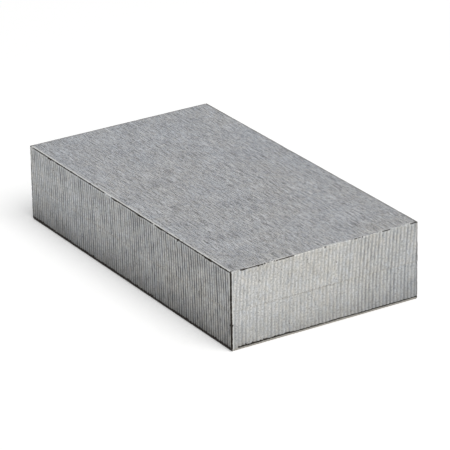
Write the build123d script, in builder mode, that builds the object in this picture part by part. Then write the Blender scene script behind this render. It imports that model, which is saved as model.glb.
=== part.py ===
from build123d import *
import os

# Two-layer sharpening stone lying on its base: a fine slab on top, a coarse slab below it
# and the film of adhesive that bonds them into one block.
# Millimetres. Origin at the centre of the base, +X along the length, +Z up to the fine face.

# Plan of the block
stone_length = 90.0
stone_width = 50.0

# Layers, from the base up
coarse_thickness = 9.4
film_thickness = 0.2
fine_thickness = 9.4

# Edges
base_chamfer = 0.7  # broad bevel round the underside
upright_arris = 0.35  # eased vertical edges, in line on both slabs
top_arris = 0.25  # eased edge round the fine face
film_recess = 0.15  # the adhesive stops short of the sawn sides

# Planes that the layers stand on
base_plane = Plane.XY
film_plane = Plane.XY.offset(coarse_thickness)
fine_plane = film_plane.offset(film_thickness)

# Sawn plan that both slabs share, with its four corners eased
with BuildSketch() as eased_plan:
    Rectangle(stone_length, stone_width)
    chamfer(eased_plan.vertices(), length=upright_arris)

# Coarse slab: carries the block, with a bevel all round its underside
with BuildPart() as coarse_slab:
    with BuildSketch(base_plane):
        Rectangle(stone_length, stone_width)
    extrude(amount=coarse_thickness)
    chamfer(coarse_slab.faces().sort_by(Axis.Z)[0].edges(), length=base_chamfer)
    with BuildSketch(base_plane):
        add(eased_plan.sketch)
    extrude(amount=coarse_thickness, mode=Mode.INTERSECT)

# Bond film: hardened adhesive between the two slabs, a little smaller than they are all round
with BuildPart() as bond_film:
    with BuildSketch(film_plane):
        add(eased_plan.sketch)
        offset(amount=-film_recess, kind=Kind.INTERSECTION, mode=Mode.REPLACE)
    extrude(amount=film_thickness)

# Fine slab: the working layer, ground flat on top, with a narrow eased edge round that face
with BuildPart() as fine_slab:
    with BuildSketch(fine_plane):
        Rectangle(stone_length, stone_width)
    extrude(amount=fine_thickness)
    chamfer(fine_slab.faces().sort_by(Axis.Z)[-1].edges(), length=top_arris)
    with BuildSketch(fine_plane):
        add(eased_plan.sketch)
    extrude(amount=fine_thickness, mode=Mode.INTERSECT)

os.makedirs("parts", exist_ok=True)

coarse_slab.part.label = "coarse_slab"
export_step(coarse_slab.part, "parts/coarse_slab.step")

bond_film.part.label = "bond_film"
export_step(bond_film.part, "parts/bond_film.step")

fine_slab.part.label = "fine_slab"
export_step(fine_slab.part, "parts/fine_slab.step")
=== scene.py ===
import math

import bpy
import numpy as np
from mathutils import Matrix, Vector


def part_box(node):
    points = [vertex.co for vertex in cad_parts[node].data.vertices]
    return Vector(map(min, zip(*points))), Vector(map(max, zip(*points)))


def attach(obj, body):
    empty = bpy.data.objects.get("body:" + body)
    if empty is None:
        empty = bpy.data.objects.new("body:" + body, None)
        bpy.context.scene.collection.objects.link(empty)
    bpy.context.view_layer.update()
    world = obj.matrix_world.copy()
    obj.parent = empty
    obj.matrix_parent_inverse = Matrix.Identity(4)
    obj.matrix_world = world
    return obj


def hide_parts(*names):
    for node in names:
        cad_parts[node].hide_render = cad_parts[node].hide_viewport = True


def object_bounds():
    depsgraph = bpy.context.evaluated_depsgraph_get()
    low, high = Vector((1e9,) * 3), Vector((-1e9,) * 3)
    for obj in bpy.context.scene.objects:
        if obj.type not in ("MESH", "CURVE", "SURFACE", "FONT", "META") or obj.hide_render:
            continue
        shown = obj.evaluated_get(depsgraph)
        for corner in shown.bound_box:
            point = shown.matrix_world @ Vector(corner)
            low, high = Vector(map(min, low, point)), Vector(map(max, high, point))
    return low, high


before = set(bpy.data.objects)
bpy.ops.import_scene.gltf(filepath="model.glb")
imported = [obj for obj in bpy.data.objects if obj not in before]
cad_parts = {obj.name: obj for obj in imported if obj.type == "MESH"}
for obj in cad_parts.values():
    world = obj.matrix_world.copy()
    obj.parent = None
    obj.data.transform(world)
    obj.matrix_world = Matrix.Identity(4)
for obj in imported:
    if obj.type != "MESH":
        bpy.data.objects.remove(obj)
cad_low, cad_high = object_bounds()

MM = 0.001

# ---------------------------------------------------------------- sizes, from the frame
fine_low, fine_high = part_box("fine_slab")
coarse_low, coarse_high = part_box("coarse_slab")
film_low, film_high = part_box("bond_film")
LENGTH = cad_high.x - cad_low.x
WIDTH = cad_high.y - cad_low.y
HEIGHT = cad_high.z - cad_low.z

# ---------------------------------------------------------------- surface detail
SIDE_STEP = 0.16 * MM                # spacing of the mesh round the sawn sides
ROW_STEP = 0.48 * MM                 # spacing of the mesh up the sawn sides
NEAR_EDGE = (0.10 * MM, 0.28 * MM)   # extra rows this far from each end of a tall wall
TALL_WALL = 3 * MM                   # lower walls, such as the film's, have no extra rows
ARRIS_ROWS = (0, 0.34, 0.67)         # mesh rows over an arris, from the flat face to the wall
SCORE_PITCH = 0.961 * MM             # from one saw score to the next
BLADE_RADIUS = 180 * MM              # the scores are arcs of the saw blade's rim
SAWN_BACK = 0.03 * MM                # how far back the sawn faces lie, so that their relief stays inside
CORNER_EASE = 0.34 * MM              # leg of the upright arrises
CORNER_LEAST = 0.10 * MM             # that leg is at least this much over twice the wall's inset
CORNER_BULGE = 0.30                  # how full the upright arrises are, as a share of their leg
CORNER_REACH = 2.5 * MM              # how far along a side a corner's shape is felt
CORNER_CUTS = 4                      # mesh points across an upright arris
CORNER_BAND = 0.50 * MM              # strip of wall beside an upright arris that shares its looks
CORNER_DARKENED = 0.69                # the darkened part of that strip, stain and painted shade, from 0 far to 1 at the arris
AT_CORNER = 0.02                     # share of a side that counts as beside its corner
LAND = 0.25 * MM                     # burnished strip of the flat faces beside each arris, lightened as a painted highlight
CAP_GAP = 0.25 * MM                  # from that strip to the grid of the flat face
CAP_BORDER = 0.40 * MM               # where the relief of a flat face fades in
SHINE_DOWN = 0.28 * MM               # where the wall below an upper arris is burnished most, lightened as a painted highlight
SHINE_SPREAD = 0.12 * MM             # and how far that reaches up and down
COVER_EDGE = 6                       # how sharply a stretch of stain, painted shade or burnish ends
DARK_RUN = 1.8 * MM                 # about how long the dark stretches on an arris run, partly stains and partly painted shade
BORDER_RUN = 2.0 * MM                # and those beside it, on the wall and on the flat face
SHINE_RUN = 2.5 * MM                 # and the burnished lengths, lightened as a painted highlight
BASE_SHADE_TOP = 0.62                     # the painted shade towards the base fades out at this share of the height

# The four sides in order: front (-Y), right end (+X), back (+Y), left end (-X), each counter-clockwise
CORNERS = [(-1, -1), (1, -1), (1, 1), (-1, 1)]
DIRECTIONS = np.array([(1, 0), (0, 1), (-1, 0), (0, -1)], float)
NORMALS = np.array([(0, -1), (1, 0), (0, 1), (-1, 0)], float)
STARTS = np.array([(x * LENGTH / 2, y * WIDTH / 2) for x, y in CORNERS])
SIDE_LENGTHS = np.array([LENGTH, WIDTH, LENGTH, WIDTH])

# One value for each side: which way and how far the arcs of the scores lean, how deep the scores
# are, and how much painted shade darkens the side towards the base
SCORE_LEAN = (-0.65, 1.0, -0.65, 1.0)
SCORE_DEPTH = (0.100 * MM, 0.090 * MM, 0.100 * MM, 0.090 * MM)
BASE_SHADE = (0.64, 0.36, 0.6, 0.45)

# Values spread evenly along each side: how dark the painted shade in the scores is, how much painted
# shade darkens the face, and how warm (below 0) or bluish (above 0) it looks
SCORE_SHADE = ((0.75, 0.85, 0.95, 1.1, 1.15), (0.42, 0.36, 0.40, 0.56, 0.62), (0.65,), (0.5,))
# Painted shade: how much darker each stretch of each side is made, on top of the shade towards the base
SIDE_SHADE = ((0.0, 0.02, 0.06, 0.07), (0.0, 0.02, 0.04, 0.12), (0.04, 0.0), (0.03, 0.0))
TINT_TREND = ((0.0, 0.9, 0.2, -0.5, -0.5), (0.2, -0.8, -0.7, 0.3, 0.7), (0, 0.5, -0.3), (0.3, -0.5, 0))

# One value for each upright arris, the one that each side starts from: darkness on it, partly stain and
# partly painted shade, and burnish beside it, lightened as a painted highlight
CORNER_DARKNESS = (0.75, 1.40, 0.95, 0.35)
CORNER_SHINE = (0.2, 2.0, 0.1, 0.2)

# Seeds of the noises, each for sides or corners 0 to 3 where they differ
WOBBLE, DRIFT, SCORE, STRENGTH, CRUMBLE, WAVE = 11, 21, 31, 41, 51, 61
CORNER_WEAR, CORNER_CHIP, CORNER_COVER = 71, 81, 91
BASE_SHADE_BROAD, BASE_SHADE_FINE, TINT_BROAD, TINT_FINE = 95, 96, 97, 98
GRAIN, BROAD_GRAIN, SCRATCH, TOP_PIT = 101, 102, 103, 104
BASE_MARK, BASE_PIT = 111, 112
CAP_TINT_BROAD, CAP_TINT_FINE = 121, 122

MASK = 0xFFFFFFFF   # keeps the hash below to 32 bits


def lattice(i, j, seed):
    """Repeatable random numbers from 0 to 1 at whole-number grid points."""
    h = (i * 374761393 + j * 668265263 + seed * 1442695) & MASK
    h = ((h ^ (h >> 13)) * 1274126177) & MASK
    return ((h ^ (h >> 16)) & MASK) / MASK


def noise(u, v, seed):
    """Smooth repeatable noise from -1 to 1, with one bump per unit of u and v."""
    u, v = np.broadcast_arrays(u, v)
    i, j = np.floor(u), np.floor(v)
    a, b = u - i, v - j
    a, b = a * a * (3 - 2 * a), b * b * (3 - 2 * b)
    i, j = i.astype(np.int64), j.astype(np.int64)
    low = lattice(i, j, seed) * (1 - a) + lattice(i + 1, j, seed) * a
    high = lattice(i, j + 1, seed) * (1 - a) + lattice(i + 1, j + 1, seed) * a
    return 2 * (low * (1 - b) + high * b) - 1


def above(value, threshold):
    """What stands above a threshold, stretched back to reach 1."""
    return np.clip((value - threshold) / (1 - threshold), 0, None)


def covered(cover, value):
    """1 where noise from -1 to 1 leaves a spot covered, for a cover from 0 (none) to 1 (all)."""
    return np.clip((cover - 0.5 - 0.5 * value) * COVER_EDGE + 0.5, 0, 1)


# ---------------------------------------------------------------- samples round the plan
def perimeter():
    """Samples once round the plan: side, place along it, and fraction across a corner (or -1)."""
    side, along, turn = [], [], []
    for k in range(4):
        span = SIDE_LENGTHS[k] - 2 * CORNER_EASE
        count = int(round(span / SIDE_STEP))
        side += [k] * (count + 1 + CORNER_CUTS)
        along += list(CORNER_EASE + np.linspace(0, span, count + 1)) + [SIDE_LENGTHS[k]] * CORNER_CUTS
        turn += [-1.0] * (count + 1) + [(c + 1) / (CORNER_CUTS + 1) for c in range(CORNER_CUTS)]
    return np.array(side), np.array(along), np.array(turn)


SIDE, ALONG, TURN = perimeter()
TRAVEL = ALONG + np.concatenate([[0], np.cumsum(SIDE_LENGTHS)])[SIDE]
LAP = SIDE + np.clip(ALONG / SIDE_LENGTHS[SIDE], 0, 1)


def along_sides(sides):
    """A value at every sample, from a list for each side that is spread evenly along that side."""
    out = np.zeros(len(SIDE))
    for k, values in enumerate(sides):
        here = SIDE == k
        out[here] = np.interp(ALONG[here] / SIDE_LENGTHS[k], np.linspace(0, 1, len(values)), values)
    return out


def all_round(value):
    """The same value on all four sides."""
    return ((value,),) * 4


def broken(seed, cover, length):
    """Lengths of 1 and of 0 in turn, so that the given share of each stretch is covered."""
    value = 0.7 * noise(TRAVEL / length, 0.5, seed) + 0.3 * noise(TRAVEL / (length / 5), 0.5, seed + 1)
    return covered(cover, value)


BARE = all_round(-1)
SCORE_SHADING = along_sides(SCORE_SHADE)


def arris(seed, rise, inset, bow, wear=0.0, chip=0.0, chip_length=MM, stain_and_shade=BARE, border=BARE,
          reach=all_round(0.18 * MM), over=BARE, shine=BARE):
    """One arris round the plan, at every sample: its height and depth with wear and chips, where it is
    darkened by stain and painted shade, where the wall beside it is darkened so and how far up, where
    the flat face beside it is darkened so, and where that is burnished and lightened as a painted
    highlight."""
    leg = along_sides(rise)
    slow = noise(TRAVEL / (4 * MM), 0.5, seed)
    jag = noise(TRAVEL / (0.35 * MM), 0.5, seed + 1)
    bite = above(noise(TRAVEL / chip_length, 0.5, seed + 2), 0.5)
    uneven = leg + wear * (0.6 * slow + 0.4 * jag) + chip * bite * (0.8 + 0.2 * jag)
    return {"rise": uneven, "inset": along_sides(inset) * uneven / leg, "bow": bow,
            "stain_and_shade": broken(seed + 4, along_sides(stain_and_shade), DARK_RUN),
            "border": broken(seed + 7, along_sides(border), BORDER_RUN),
            "reach": along_sides(reach) * (1 + 0.6 * noise(TRAVEL / (1.1 * MM), 0.5, seed + 9)),
            "over": broken(seed + 13, along_sides(over), BORDER_RUN),
            "shine": broken(seed + 11, along_sides(shine), SHINE_RUN)}


# ---------------------------------------------------------------- sawn walls
def saw_relief(side, u, z, layer):
    """Depth below the sawn face, and how far into a score each point lies (0 to 1)."""
    rise = z - cad_low.z
    lean = SCORE_LEAN[side] * rise ** 2 / (2 * BLADE_RADIUS)
    wobble = 0.045 * MM * noise(u / (1.3 * MM), rise / (0.9 * MM), WOBBLE + side)
    drift = 0.16 * noise(u / (9 * MM), rise / (60 * MM), DRIFT + side)
    phase = (u - lean + wobble) / SCORE_PITCH + drift + 0.12 * layer
    score = np.round(phase)
    away = np.abs(phase - score)
    strength = 0.80 + 0.4 * lattice(score.astype(np.int64), np.int64(7), SCORE + side)
    strength = strength * (1 + 0.35 * noise(score * 3.7, rise / (1.5 * MM), STRENGTH + side + layer))
    in_score = 0.5 + 0.5 * np.cos(2 * np.pi * away)
    crumble = 0.022 * MM * noise(u / (0.40 * MM), rise / (0.55 * MM), CRUMBLE + side)
    wave = 0.020 * MM * noise(u / (14 * MM), rise / (9 * MM), WAVE + side)
    depth = SCORE_DEPTH[side] * strength * in_score + crumble + wave + SAWN_BACK
    return np.clip(depth, 0, None), in_score * strength


def corner_ease(corner, z):
    """Leg of an upright arris at a height: uneven, with small chips."""
    wear = 0.07 * MM * noise(z / (0.5 * MM), 0.5, CORNER_WEAR + corner)
    chip = 0.34 * MM * above(noise(z / (0.45 * MM), 0.5, CORNER_CHIP + corner), 0.45)
    return CORNER_EASE + wear + chip


def leg_over(corner, z, inset):
    """Leg of an upright arris, kept clear of a wall's inset where another arris meets it."""
    return np.maximum(corner_ease(corner, z), 2 * inset + CORNER_LEAST)


def wall_points(z, inset, keep, layer):
    """Places of the wall's mesh points, from rows of heights and insets, with the relief cut in.
    Also how much painted shade each one takes from its score, and how near an upright arris (0 far, 1 at
    it, 2 on it)."""
    points = np.zeros(z.shape + (3,))
    points[..., 2] = z
    score_shade = np.zeros(z.shape)
    near = np.zeros(z.shape)
    for k in range(4):
        after = (k + 1) % 4
        size = SIDE_LENGTHS[k]
        flat = (SIDE == k) & (TURN < 0)
        z_flat, in_flat = z[:, flat], inset[:, flat]
        u = np.broadcast_to(ALONG[flat], z_flat.shape)
        first = leg_over(k, z_flat, in_flat) - in_flat
        last = leg_over(after, z_flat, in_flat) - in_flat
        from_first = np.clip(1 - (u - CORNER_EASE) / CORNER_REACH, 0, 1)
        from_last = np.clip(1 - (size - CORNER_EASE - u) / CORNER_REACH, 0, 1)
        u = u + (first - CORNER_EASE) * from_first - (last - CORNER_EASE) * from_last
        depth, in_score = saw_relief(k, u, z_flat, layer)
        back = in_flat + depth * keep[:, flat]
        points[:, flat, :2] = STARTS[k] + u[..., None] * DIRECTIONS[k] - back[..., None] * NORMALS[k]
        # Painted shade in the scores
        score_shade[:, flat] = in_score * SCORE_SHADING[flat]
        near_first = np.clip(1 - (u - first) / CORNER_BAND, 0, 1)
        near_last = np.clip(1 - (size - last - u) / CORNER_BAND, 0, 1)
        near[:, flat] = np.maximum(near_first, near_last)

        bend = (SIDE == k) & (TURN >= 0)
        z_bend, in_bend, t = z[:, bend], inset[:, bend], TURN[bend]
        leg = leg_over(after, z_bend, in_bend)
        bulge = CORNER_BULGE * leg * t * (1 - t)
        before, _ = saw_relief(k, size - leg, z_bend, layer)
        beyond, _ = saw_relief(after, leg, z_bend, layer)
        back = (leg - in_bend) * (1 - t) + in_bend * t + keep[:, bend] * beyond * t - bulge
        across = in_bend * (1 - t) + (leg - in_bend) * t + keep[:, bend] * before * (1 - t) - bulge
        offset = back[..., None] * DIRECTIONS[k] + across[..., None] * NORMALS[k]
        points[:, bend, :2] = STARTS[after] - offset
        near[:, bend] = 2
    return points, score_shade, near


def arc(edge, g):
    """Height and inset of an arris at g, from 0 on the flat face to 1 on the wall."""
    bow = edge["bow"]
    inset = edge["inset"] * ((1 - bow) * (1 - g) + bow * (1 - math.sin(g * math.pi / 2)))
    rise = edge["rise"] * ((1 - bow) * g + bow * (1 - math.cos(g * math.pi / 2)))
    return rise, inset


def wall_rows(low, high, lower, upper):
    """Rows up a wall, from the land below, over the lower arris, the wall and the upper arris, to the
    land above: height, inset, share of relief, stain and painted shade, burnish with painted highlight,
    and bevel at every sample."""
    rows = []

    def add(*values):
        rows.append([value * np.ones(len(SIDE)) for value in values])

    wall = high - low
    fractions = np.linspace(0, 1, max(3, int(round(wall / ROW_STEP))) + 1)
    if wall > TALL_WALL:
        extra = np.array(NEAR_EDGE) / wall
        fractions = np.sort(np.concatenate([fractions, extra, 1 - extra]))
    add(low, lower["inset"] + LAND, 0, 0, 0, 0)
    for g in ARRIS_ROWS:
        rise, inset = arc(lower, g)
        add(low + rise, inset, 0.4 + 0.6 * g, lower["stain_and_shade"], 0, 1)
    for f in fractions:
        below = low + lower["rise"]
        height = below + f * (high - upper["rise"] - below)
        down, up = f * wall, (1 - f) * wall
        stain_and_shade = lower["border"] * np.exp(-(down / lower["reach"]) ** 2)
        stain_and_shade = stain_and_shade + upper["border"] * np.exp(-(up / upper["reach"]) ** 2)
        # Burnish below the upper arris, lightened as a painted highlight
        shine = 0.7 * upper["shine"] * math.exp(-((up - SHINE_DOWN) / SHINE_SPREAD) ** 2)
        add(height, 0, 1, stain_and_shade, shine, 0)
    for g in reversed(ARRIS_ROWS):
        rise, inset = arc(upper, g)
        add(high - rise, inset, 0.4 + 0.6 * g, upper["stain_and_shade"], 0, 0)
    add(high, upper["inset"] + LAND, 0, 0.5 * upper["over"], upper["shine"], 0)
    return np.array(rows).transpose(1, 0, 2)


def wall_looks(z, score_shade, near, stain_and_shade, shine, bevel):
    """The values that the materials read at each wall point."""
    lap = LAP + 0 * z
    for k in range(4):
        here = np.abs((lap - k + 2) % 4 - 2) < AT_CORNER
        # Upright arrises darkened: partly stain, partly painted shade
        dark = covered(CORNER_DARKNESS[k], noise(z / (0.8 * MM), 0.5, CORNER_COVER + k))
        stain_and_shade = np.where(here & (near > CORNER_DARKENED), np.maximum(stain_and_shade, dark), stain_and_shade)
        # Burnish beside the upright arrises, lightened as a painted highlight
        bright = np.maximum(shine, CORNER_SHINE[k] * near)
        shine = np.where(here & (near < CORNER_DARKENED) & (near > 0), bright, shine)
    rise = (z - cad_low.z) / HEIGHT
    # Painted shade: each side is made darker towards the base, most on the front
    uneven = 0.06 * noise(TRAVEL / (11 * MM), 0.5, BASE_SHADE_BROAD)
    uneven = uneven + 0.03 * noise(TRAVEL / (2.5 * MM), rise * 3, BASE_SHADE_FINE)
    base_shade = np.array(BASE_SHADE)[SIDE] * np.clip(1 - (rise + uneven) / BASE_SHADE_TOP, 0, 1) ** 1.7
    is_end = SIDE % 2
    tint = along_sides(TINT_TREND) - 0.8 * (rise - 0.4) * is_end
    tint = tint + 0.7 * noise(TRAVEL / (8 * MM), rise * 2.4, TINT_BROAD)
    tint = tint + 0.4 * noise(TRAVEL / (3 * MM), rise * 6, TINT_FINE)
    return {"score_shade": score_shade, "stain_and_shade": stain_and_shade, "shine": shine, "bevel": bevel,
            "base_shade": base_shade + along_sides(SIDE_SHADE), "tint": tint}


# ---------------------------------------------------------------- flat faces
def ground_top(x, y):
    """How far the ground working face drops: lengthwise grain, a few scratches, pits."""
    grain = 0.5 + 0.5 * noise(x / (3.0 * MM), y / (0.30 * MM), GRAIN)
    broad = 0.5 + 0.5 * noise(x / (9.0 * MM), y / (1.1 * MM), BROAD_GRAIN)
    scratch = above(noise(x / (2.2 * MM), y / (0.34 * MM), SCRATCH), 0.62)
    pit = above(noise(x / (0.7 * MM), y / (0.5 * MM), TOP_PIT), 0.80)
    return (0.008 * grain + 0.004 * broad + 0.015 * scratch + 0.05 * pit) * MM


def sawn_bottom(x, y):
    """Relief of the underside: lapped, with shallow lengthwise saw marks."""
    marks = 0.5 + 0.5 * noise(x / (12 * MM), y / (1.6 * MM), BASE_MARK)
    pit = above(noise(x / (1.2 * MM), y / (1.0 * MM), BASE_PIT), 0.75)
    return (0.015 * marks + 0.08 * pit) * MM


def plain(x, y):
    """A flat face with no relief."""
    return np.zeros(x.shape)


def stitch(outer, outer_laps, inner, inner_laps):
    """Triangles that join two closed loops, both counter-clockwise and starting at the same corner."""
    n, m = len(outer), len(inner)
    i = j = 0
    triangles = []
    while i < n or j < m:
        next_outer = outer_laps[i + 1] if i + 1 < n else 4.0
        next_inner = inner_laps[j + 1] if j + 1 < m else 4.0
        if i < n and (j >= m or next_outer <= next_inner):
            triangles.append((outer[i], outer[(i + 1) % n], inner[j % m]))
            i += 1
        else:
            triangles.append((outer[i % n], inner[(j + 1) % m], inner[j % m]))
            j += 1
    return triangles


def cap(level, upward, margin, cells, relief, ring, base):
    """A flat face as a grid inside a wall's last row: its points and faces, numbered from base."""
    nx = int(round((LENGTH - 2 * margin) / cells[0]))
    ny = int(round((WIDTH - 2 * margin) / cells[1]))
    gx = np.linspace(-LENGTH / 2 + margin, LENGTH / 2 - margin, nx + 1)
    gy = np.linspace(-WIDTH / 2 + margin, WIDTH / 2 - margin, ny + 1)
    x, y = np.meshgrid(gx, gy, indexing="ij")
    border = np.minimum(np.minimum(x - gx[0], gx[-1] - x), np.minimum(y - gy[0], gy[-1] - y))
    drop = relief(x, y) * np.clip(border / CAP_BORDER, 0, 1)
    points = np.stack([x, y, level - drop if upward else level + drop], -1).reshape(-1, 3)

    i, j = np.meshgrid(np.arange(nx), np.arange(ny), indexing="ij")
    c = (base + i * (ny + 1) + j).ravel()
    quads = list(zip(c, c + ny + 1, c + ny + 2, c + 1))

    def spot(i, j):
        return base + i * (ny + 1) + j

    loop = [spot(i, 0) for i in range(nx)] + [spot(nx, j) for j in range(ny)]
    loop += [spot(nx - i, ny) for i in range(nx)] + [spot(0, ny - j) for j in range(ny)]
    laps = [i / nx for i in range(nx)] + [1 + j / ny for j in range(ny)]
    laps += [2 + i / nx for i in range(nx)] + [3 + j / ny for j in range(ny)]
    faces = quads + stitch(ring, list(LAP), loop, laps)
    return points, faces if upward else [face[::-1] for face in faces]


# ---------------------------------------------------------------- layers
LOOKS = ("score_shade", "stain_and_shade", "shine", "bevel", "base_shade", "tint")


def cap_looks(x, y):
    """The values that the materials read on a flat face: only its tint changes."""
    values = np.zeros((len(x), len(LOOKS)))
    tint = 0.4 - 0.5 * x / (LENGTH / 2) + 0.8 * noise(x / (11 * MM), y / (7 * MM), CAP_TINT_BROAD)
    values[:, LOOKS.index("tint")] = tint + 0.5 * noise(x / (4 * MM), y / (3 * MM), CAP_TINT_FINE)
    return values


def layer_mesh(name, low, high, lower, upper, layer, bottom, top):
    """Builds one layer of the block as a closed mesh: a wall between two arrises, and two flat faces,
    each given as (cell sizes, relief). Its first material is for the wall, its second for the faces."""
    z, inset, keep, stain_and_shade, shine, bevel = wall_rows(low, high, lower, upper)
    points, score_shade, near = wall_points(z, inset, keep, layer)
    looks = wall_looks(z, score_shade, near, stain_and_shade, shine, bevel)
    rows, samples = z.shape
    r, s = np.meshgrid(np.arange(rows - 1), np.arange(samples), indexing="ij")
    a, b = (r * samples + s).ravel(), (r * samples + (s + 1) % samples).ravel()
    faces = list(zip(a, b, b + samples, a + samples))
    slots = [int(x) for x in ((r == 0) | (r == rows - 2)).ravel()]
    vertices = [points.reshape(-1, 3)]
    values = [np.stack([looks[label] for label in LOOKS], -1).reshape(-1, len(LOOKS))]

    for upward, level, edge, (cells, relief) in ((False, low, lower, bottom), (True, high, upper, top)):
        margin = float(np.max(edge["inset"])) + LAND + CAP_GAP
        first = (rows - 1) * samples if upward else 0
        ring = list(range(first, first + samples))
        base = sum(len(v) for v in vertices)
        more_points, more_faces = cap(level, upward, margin, cells, relief, ring, base)
        vertices.append(more_points)
        values.append(cap_looks(more_points[:, 0], more_points[:, 1]))
        faces += more_faces
        slots += [1] * len(more_faces)

    mesh = bpy.data.meshes.new(name)
    mesh.from_pydata(np.concatenate(vertices).tolist(), [], [tuple(int(q) for q in f) for f in faces])
    values = np.concatenate(values).astype(np.float32)
    for column, label in enumerate(LOOKS):
        mesh.attributes.new(label, "FLOAT", "POINT").data.foreach_set("value", values[:, column].copy())
    mesh.polygons.foreach_set("material_index", np.array(slots, np.int32))
    mesh.polygons.foreach_set("use_smooth", np.ones(len(mesh.polygons), bool))
    mesh.update()
    obj = bpy.data.objects.new(name, mesh)
    bpy.context.scene.collection.objects.link(obj)
    return obj


# ---------------------------------------------------------------- materials
class Nodes:
    """Small helper for writing a node tree in a few lines."""

    def __init__(self, owner, output):
        owner.use_nodes = True
        self.owner = owner
        self.tree = owner.node_tree
        self.tree.nodes.clear()
        self.out = self.tree.nodes.new(output)

    def new(self, kind, **settings):
        node = self.tree.nodes.new(kind)
        for key, value in settings.items():
            setattr(node, key, value)
        return node

    def link(self, a, b):
        self.tree.links.new(a, b)

    def fill(self, socket, value):
        """Puts a number, a colour or another node's output into a socket."""
        if isinstance(value, (int, float)):
            socket.default_value = value
        elif isinstance(value, tuple):
            socket.default_value = value + (1.0,)
        else:
            self.link(value, socket)

    def texture(self, size, detail=2.0):
        """Noise whose bumps have the given sizes in millimetres along X, Y and Z."""
        coordinates = self.new("ShaderNodeTexCoord")
        mapping = self.new("ShaderNodeMapping")
        mapping.inputs["Scale"].default_value = [1 / (s * MM) for s in size]
        self.link(coordinates.outputs["Object"], mapping.inputs["Vector"])
        node = self.new("ShaderNodeTexNoise")
        node.inputs["Scale"].default_value = 1.0
        node.inputs["Detail"].default_value = detail
        node.inputs["Roughness"].default_value = TEXTURE_ROUGHNESS
        self.link(mapping.outputs["Vector"], node.inputs["Vector"])
        return node.outputs["Fac"]

    def range(self, value, low, high, to_low, to_high):
        """A value from low to high turned into one from to_low to to_high, and held there beyond."""
        node = self.new("ShaderNodeMapRange", clamp=True)
        limits = {"From Min": low, "From Max": high, "To Min": to_low, "To Max": to_high}
        for key, number in limits.items():
            node.inputs[key].default_value = number
        self.link(value, node.inputs["Value"])
        return node.outputs["Result"]

    def maths(self, operation, a, b):
        node = self.new("ShaderNodeMath", operation=operation)
        self.fill(node.inputs[0], a)
        self.fill(node.inputs[1], b)
        return node.outputs["Value"]

    def add(self, *terms):
        total = terms[0]
        for term in terms[1:]:
            total = self.maths("ADD", total, term)
        return total

    def mix(self, factor, a, b, blend="MIX"):
        node = self.new("ShaderNodeMix", data_type="RGBA", blend_type=blend)
        for index, value in ((0, factor), (6, a), (7, b)):
            self.fill(node.inputs[index], value)
        return node.outputs[2]

    def attribute(self, name):
        return self.new("ShaderNodeAttribute", attribute_name=name).outputs["Fac"]

    def tinted(self, base, mottle, patches):
        """A colour turned warm or bluish, by the tint and a mottle, and lighter or darker in patches."""
        tint = self.add(self.attribute("tint"), self.range(mottle, 0.3, 0.7, -1.6, 1.6))
        tint = self.mix(self.range(tint, -2, 2, 0, 1), WARM, COOL)
        base = self.mix(1.0, base, tint, "MULTIPLY")
        return self.mix(1.0, base, patches, "MULTIPLY")

    def surface(self, colour, metallic, roughness, height, distance):
        """Puts a Principled surface in the output, with a bump of the given depth."""
        bump = self.new("ShaderNodeBump")
        bump.inputs["Strength"].default_value = 1.0
        bump.inputs["Distance"].default_value = distance
        self.link(height, bump.inputs["Height"])
        shader = self.new("ShaderNodeBsdfPrincipled")
        shader.inputs["Specular IOR Level"].default_value = SPECULAR
        self.link(metallic, shader.inputs["Metallic"])
        self.link(colour, shader.inputs["Base Color"])
        self.link(roughness, shader.inputs["Roughness"])
        self.link(bump.outputs["Normal"], shader.inputs["Normal"])
        self.link(shader.outputs["BSDF"], self.out.inputs["Surface"])
        return self.owner

    def seen_rays(self):
        """1 for rays that show a background: from the camera, in gloss or through glass."""
        rays = self.new("ShaderNodeLightPath").outputs
        return self.maths("MINIMUM", self.add(rays["Is Camera Ray"], rays["Is Glossy Ray"],
                                              rays["Is Transmission Ray"]), 1.0)


METALLIC = 0.35                      # the dense grit has a metallic sheen
SPECULAR = 0.25
TEXTURE_ROUGHNESS = 0.6              # how much fine detail the noise textures carry
WARM = (1.030, 1.0, 0.955)
COOL = (0.960, 0.992, 1.050)
# Near-black for real dark specks and stains, and for painted shade on the arrises and the contact line
# at the base
SOOT_AND_SHADE = (0.018, 0.013, 0.009)
BARE_EDGE = (0.42, 0.395, 0.35)
# Light colour for burnish, also a painted highlight
BURNISH_AND_HIGHLIGHT = (0.80, 0.80, 0.77)
# Dark colour for real scratches on the ground faces and for the painted shade towards the base
DIRT_AND_SHADE = (0.045, 0.043, 0.042)


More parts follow.
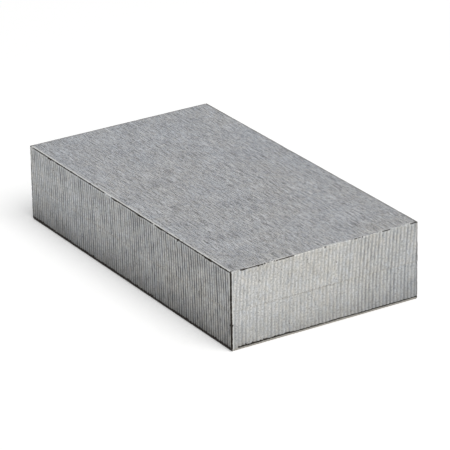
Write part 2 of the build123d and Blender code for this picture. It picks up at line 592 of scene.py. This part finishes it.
def sawn_finish(name, ridge, valley_shade):
    """The sawn sides: crumbly ridges, painted shade in the scores and towards the base, bare bevels,
    burnished strips lightened as a painted highlight, and broken dark arrises of stain and painted
    shade.
    """
    n = Nodes(bpy.data.materials.new(name), "ShaderNodeOutputMaterial")
    crumb = n.texture((0.42, 0.42, 0.38), detail=1)
    streak = n.texture((0.42, 0.42, 3.0))
    # Painted shade: the scores darkened towards the valley colour
    score_shade = n.add(n.attribute("score_shade"), n.range(crumb, 0.3, 0.7, -0.2, 0.2))
    base = n.mix(n.range(score_shade, 0.05, 1.25, 0, 1), ridge, valley_shade)
    patches = n.range(n.texture((6, 6, 5)), 0.35, 0.65, 0.95, 1.05)
    base = n.tinted(base, n.texture((0.9, 0.9, 1.6)), patches)
    shade = n.add(n.range(crumb, 0.3, 0.7, 0.64, 1.36), n.range(streak, 0.3, 0.7, -0.08, 0.08))
    base = n.mix(1.0, base, shade, "MULTIPLY")
    speck = n.texture((0.55, 0.55, 0.55), detail=1)
    base = n.mix(n.range(speck, 0.745, 0.775, 0, 0.75), base, SOOT_AND_SHADE)
    # Painted shade, darker towards the base
    base = n.mix(n.attribute("base_shade"), base, DIRT_AND_SHADE)
    base = n.mix(n.maths("MULTIPLY", n.attribute("bevel"), 0.85), base, BARE_EDGE)
    # Burnished strips, lightened as a painted highlight
    base = n.mix(n.range(n.attribute("shine"), 0.1, 1.0, 0, 0.60), base, BURNISH_AND_HIGHLIGHT)
    # Dark arrises: partly stains, partly painted shade; along the base, painted contact shadow
    ragged = n.add(n.attribute("stain_and_shade"), n.range(crumb, 0.3, 0.7, -0.25, 0.25))
    base = n.mix(n.range(ragged, 0.35, 0.65, 0, 0.97), base, SOOT_AND_SHADE)
    sheen = n.range(ragged, 0.35, 0.65, METALLIC, 0)
    rough = n.add(n.range(crumb, 0.3, 0.7, 0.42, 0.62), n.range(ragged, 0.35, 0.65, 0, 0.35))
    height = n.add(crumb, n.maths("MULTIPLY", streak, 0.6))
    return n.surface(base, sheen, rough, height, 0.05 * MM)


def ground_stone(name, light, dark):
    """The ground faces: fine lengthwise grinding streaks, soft patches, a burnished border lightened as
    a painted highlight, and dark arris stains with painted shade.
    """
    n = Nodes(bpy.data.materials.new(name), "ShaderNodeOutputMaterial")
    long = n.texture((5.0, 0.14, 1.0), detail=1)
    middling = n.texture((1.2, 0.14, 1.0), detail=1)
    short = n.texture((0.40, 0.14, 1.0), detail=1)
    streak = n.add(n.maths("MULTIPLY", long, 0.40), n.maths("MULTIPLY", middling, 0.30),
                   n.maths("MULTIPLY", short, 0.30))
    base = n.mix(n.range(streak, 0.417, 0.587, 0, 1), dark, light)
    patches = n.range(n.texture((9, 6, 6), detail=3), 0.35, 0.65, 0.94, 1.06)
    base = n.tinted(base, n.texture((2.0, 0.8, 1.0)), patches)
    scratch = n.texture((2.4, 0.16, 1.0), detail=1)
    base = n.mix(n.range(scratch, 0.66, 0.71, 0, 0.7), base, DIRT_AND_SHADE)
    # Burnished border, lightened as a painted highlight
    base = n.mix(n.range(n.attribute("shine"), 0.1, 1.0, 0, 0.7), base, BURNISH_AND_HIGHLIGHT)
    # Dark arrises beside the face: partly stains, partly painted shade
    base = n.mix(n.range(n.attribute("stain_and_shade"), 0.3, 0.7, 0, 0.9), base, SOOT_AND_SHADE)
    sheen = n.range(n.attribute("stain_and_shade"), 0.3, 0.7, METALLIC, 0)
    return n.surface(base, sheen, n.range(streak, 0.38, 0.62, 0.38, 0.56), streak, 0.06 * MM)


# ---------------------------------------------------------------- pieces
# Each arris has a seed of its own, and its lists run along the front, right end, back and left end
# The top arris's dark stretches are partly stains and partly painted shade; its shine is burnish
# lightened as a painted highlight
top_arris = arris(
    201, rise=all_round(0.17 * MM), inset=all_round(0.17 * MM), bow=0.5,
    wear=0.05 * MM, chip=0.30 * MM, chip_length=0.8 * MM,
    stain_and_shade=((0.58, 0.70, 0.80), (0.35, 0.65, 0.5, 0.35, 0.40, 0.45, 0.50), (0.7,), (0.6,)),
    border=((0.30, 0.4, 0.4), (0.1, 0.4, 0.2, 0.1, 0.2, 0.2, 0.2), (0.5,), (0.4,)),
    over=((-1,), (-1,), (0.7,), (0.6,)),
    shine=((0.8,), (0.3, 0.5, 0.5), (0.0,), (0.0,)))
seam = arris(
    221, rise=all_round(0.03 * MM), inset=all_round(0.03 * MM), bow=0.5,
    wear=0.01 * MM, chip=0.10 * MM, chip_length=0.7 * MM,
    stain_and_shade=((-1,), (-0.2, 0.2, 0.75, 0.8, 0.75, 0.6, 0.1, -0.2, -0.2), (-1,), (-1,)))
# The base bevel's dark stain and the dark border above it are painted contact shadow along the foot,
# darkest on the front
base_bevel = arris(
    261, rise=all_round(0.64 * MM), inset=all_round(0.32 * MM), bow=0.15,
    wear=0.08 * MM, chip=0.25 * MM, chip_length=0.6 * MM,
    stain_and_shade=((1.3,), (0.2, 0.10, 0.1, 0.1), (0.6,), (0.3,)),
    border=((1.3,), (0.2, 0.9, 1.1, 1.1, 1.0, 0.9, 0.9, 0.9, 0.9), (0.65,), (0.55,)),
    reach=((0.38 * MM,), (0.38 * MM, 0.46 * MM, 0.22 * MM, 0.20 * MM, 0.22 * MM, 0.22 * MM),
           (0.38 * MM,), (0.38 * MM,)))
square = arris(281, rise=all_round(0.01 * MM), inset=all_round(0.02 * MM), bow=0)

# What the flat faces are like: the size of their mesh cells, and their relief
HIDDEN_FACE = ((2 * MM, 2 * MM), plain)
WORKING_FACE = ((0.85 * MM, 0.16 * MM), ground_top)
BASE_FACE = ((1.0 * MM, 0.8 * MM), sawn_bottom)

fine = layer_mesh("fine_stone_layer", fine_low.z, fine_high.z, seam, top_arris, layer=0,
                  bottom=HIDDEN_FACE, top=WORKING_FACE)
coarse = layer_mesh("coarse_stone_layer", coarse_low.z, coarse_high.z, base_bevel, seam, layer=1,
                    bottom=BASE_FACE, top=HIDDEN_FACE)
# The film is drawn out to the sawn sides, though its CAD solid stops short of them all round
film = layer_mesh("bond_film_layer", film_low.z, film_high.z, square, square, layer=1,
                  bottom=HIDDEN_FACE, top=HIDDEN_FACE)

# The adhesive has a finish of its own, a resin full of stone dust
sawn_stone = sawn_finish("sawn_stone", ridge=(0.63, 0.63, 0.617), valley_shade=(0.115, 0.12, 0.13))
sawn_resin = sawn_finish("sawn_resin", ridge=(0.61, 0.60, 0.575), valley_shade=(0.11, 0.11, 0.11))
ground = ground_stone("ground_stone", light=(0.60, 0.605, 0.615), dark=(0.085, 0.087, 0.091))
for obj, node, slot, sawn in ((fine, "fine_slab", "fine_stone", sawn_stone),
                              (coarse, "coarse_slab", "coarse_stone", sawn_stone),
                              (film, "bond_film", "adhesive", sawn_resin)):
    obj.data.materials.append(sawn)
    obj.data.materials.append(ground)
    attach(obj, "root")
    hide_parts(node)

# ---------------------------------------------------------------- floor, light, camera
FLOOR_REACH = 3.0
FLOOR_GREY = 0.80
FLOOR_GLOW = 0.32                    # what seen rays add to the floor, so that it shows as white
WORLD_LIGHT = 0.32


def make_floor():
    """A plain pale floor that keeps the shadow, and that can be looked through from below."""
    mesh = bpy.data.meshes.new("floor")
    mesh.from_pydata([(x * FLOOR_REACH, y * FLOOR_REACH, 0) for x, y in CORNERS], [], [(0, 1, 2, 3)])
    floor = bpy.data.objects.new("floor", mesh)
    bpy.context.scene.collection.objects.link(floor)

    n = Nodes(bpy.data.materials.new("floor"), "ShaderNodeOutputMaterial")
    diffuse = n.new("ShaderNodeBsdfDiffuse")
    diffuse.inputs["Color"].default_value = (FLOOR_GREY, FLOOR_GREY, FLOOR_GREY, 1)
    glow = n.new("ShaderNodeEmission")
    n.link(n.maths("MULTIPLY", n.seen_rays(), FLOOR_GLOW), glow.inputs["Strength"])
    both = n.new("ShaderNodeAddShader")
    n.link(diffuse.outputs["BSDF"], both.inputs[0])
    n.link(glow.outputs["Emission"], both.inputs[1])
    pick = n.new("ShaderNodeMixShader")
    n.link(n.new("ShaderNodeNewGeometry").outputs["Backfacing"], pick.inputs[0])
    n.link(both.outputs["Shader"], pick.inputs[1])
    n.link(n.new("ShaderNodeBsdfTransparent").outputs["BSDF"], pick.inputs[2])
    n.link(pick.outputs["Shader"], n.out.inputs["Surface"])
    mesh.materials.append(n.owner)


def make_world():
    """Even soft light from all round, seen as white."""
    n = Nodes(bpy.data.worlds.new("studio"), "ShaderNodeOutputWorld")
    bpy.context.scene.world = n.owner
    lit = n.new("ShaderNodeBackground")
    lit.inputs["Color"].default_value = (0.97, 0.985, 1.0, 1)
    lit.inputs["Strength"].default_value = WORLD_LIGHT
    seen = n.new("ShaderNodeBackground")
    seen.inputs["Color"].default_value = (1, 1, 1, 1)
    seen.inputs["Strength"].default_value = 1.0
    choose = n.new("ShaderNodeMixShader")
    n.link(n.seen_rays(), choose.inputs[0])
    n.link(lit.outputs["Background"], choose.inputs[1])
    n.link(seen.outputs["Background"], choose.inputs[2])
    n.link(choose.outputs["Shader"], n.out.inputs["Surface"])


def view_direction(azimuth, elevation):
    """From the object towards a place at an azimuth (0 is the -Y side, 90 the +X side) and elevation."""
    a, e = math.radians(azimuth), math.radians(elevation)
    return Vector((math.sin(a) * math.cos(e), -math.cos(a) * math.cos(e), math.sin(e)))


def softbox(name, azimuth, elevation, distance, size, power, colour):
    """A round soft lamp that points at the middle of the object."""
    data = bpy.data.lights.new(name, "AREA")
    data.shape = "DISK"
    data.size = size
    data.energy = power
    data.color = colour
    lamp = bpy.data.objects.new(name, data)
    direction = view_direction(azimuth, elevation)
    lamp.location = Vector((0, 0, HEIGHT / 2)) + direction * distance
    lamp.rotation_mode = "QUATERNION"
    lamp.rotation_quaternion = direction.to_track_quat("Z", "Y")
    bpy.context.scene.collection.objects.link(lamp)


def make_camera(azimuth, elevation, roll, distance, lens, shift_right, shift_up):
    """A camera that looks at a point beside the object's middle, turned a little about its own axis."""
    data = bpy.data.cameras.new("camera")
    data.lens = lens
    data.sensor_width = 36.0
    data.clip_start = 0.01
    data.clip_end = 20
    camera = bpy.data.objects.new("camera", data)
    bpy.context.scene.collection.objects.link(camera)
    back = view_direction(azimuth, elevation)
    level_right = Vector((0, 0, 1)).cross(back).normalized()
    level_up = back.cross(level_right)
    turn = math.radians(roll)
    right = level_right * math.cos(turn) + level_up * math.sin(turn)
    up = level_up * math.cos(turn) - level_right * math.sin(turn)
    aim = (cad_low + cad_high) / 2 + right * shift_right + up * shift_up
    turned = Matrix((right, up, back)).transposed().to_4x4()
    camera.matrix_world = Matrix.Translation(aim + back * distance) @ turned
    bpy.context.scene.camera = camera


make_floor()
make_world()
softbox("key", azimuth=96, elevation=60, distance=3.0, size=2.4, power=69.5, colour=(1.0, 0.995, 0.98))
make_camera(azimuth=58.2, elevation=23.27, roll=-1.01, distance=8.112 * LENGTH, lens=250.95,
            shift_right=0.0172 * LENGTH, shift_up=-0.0124 * LENGTH)

bpy.context.scene.view_settings.view_transform = "Standard"
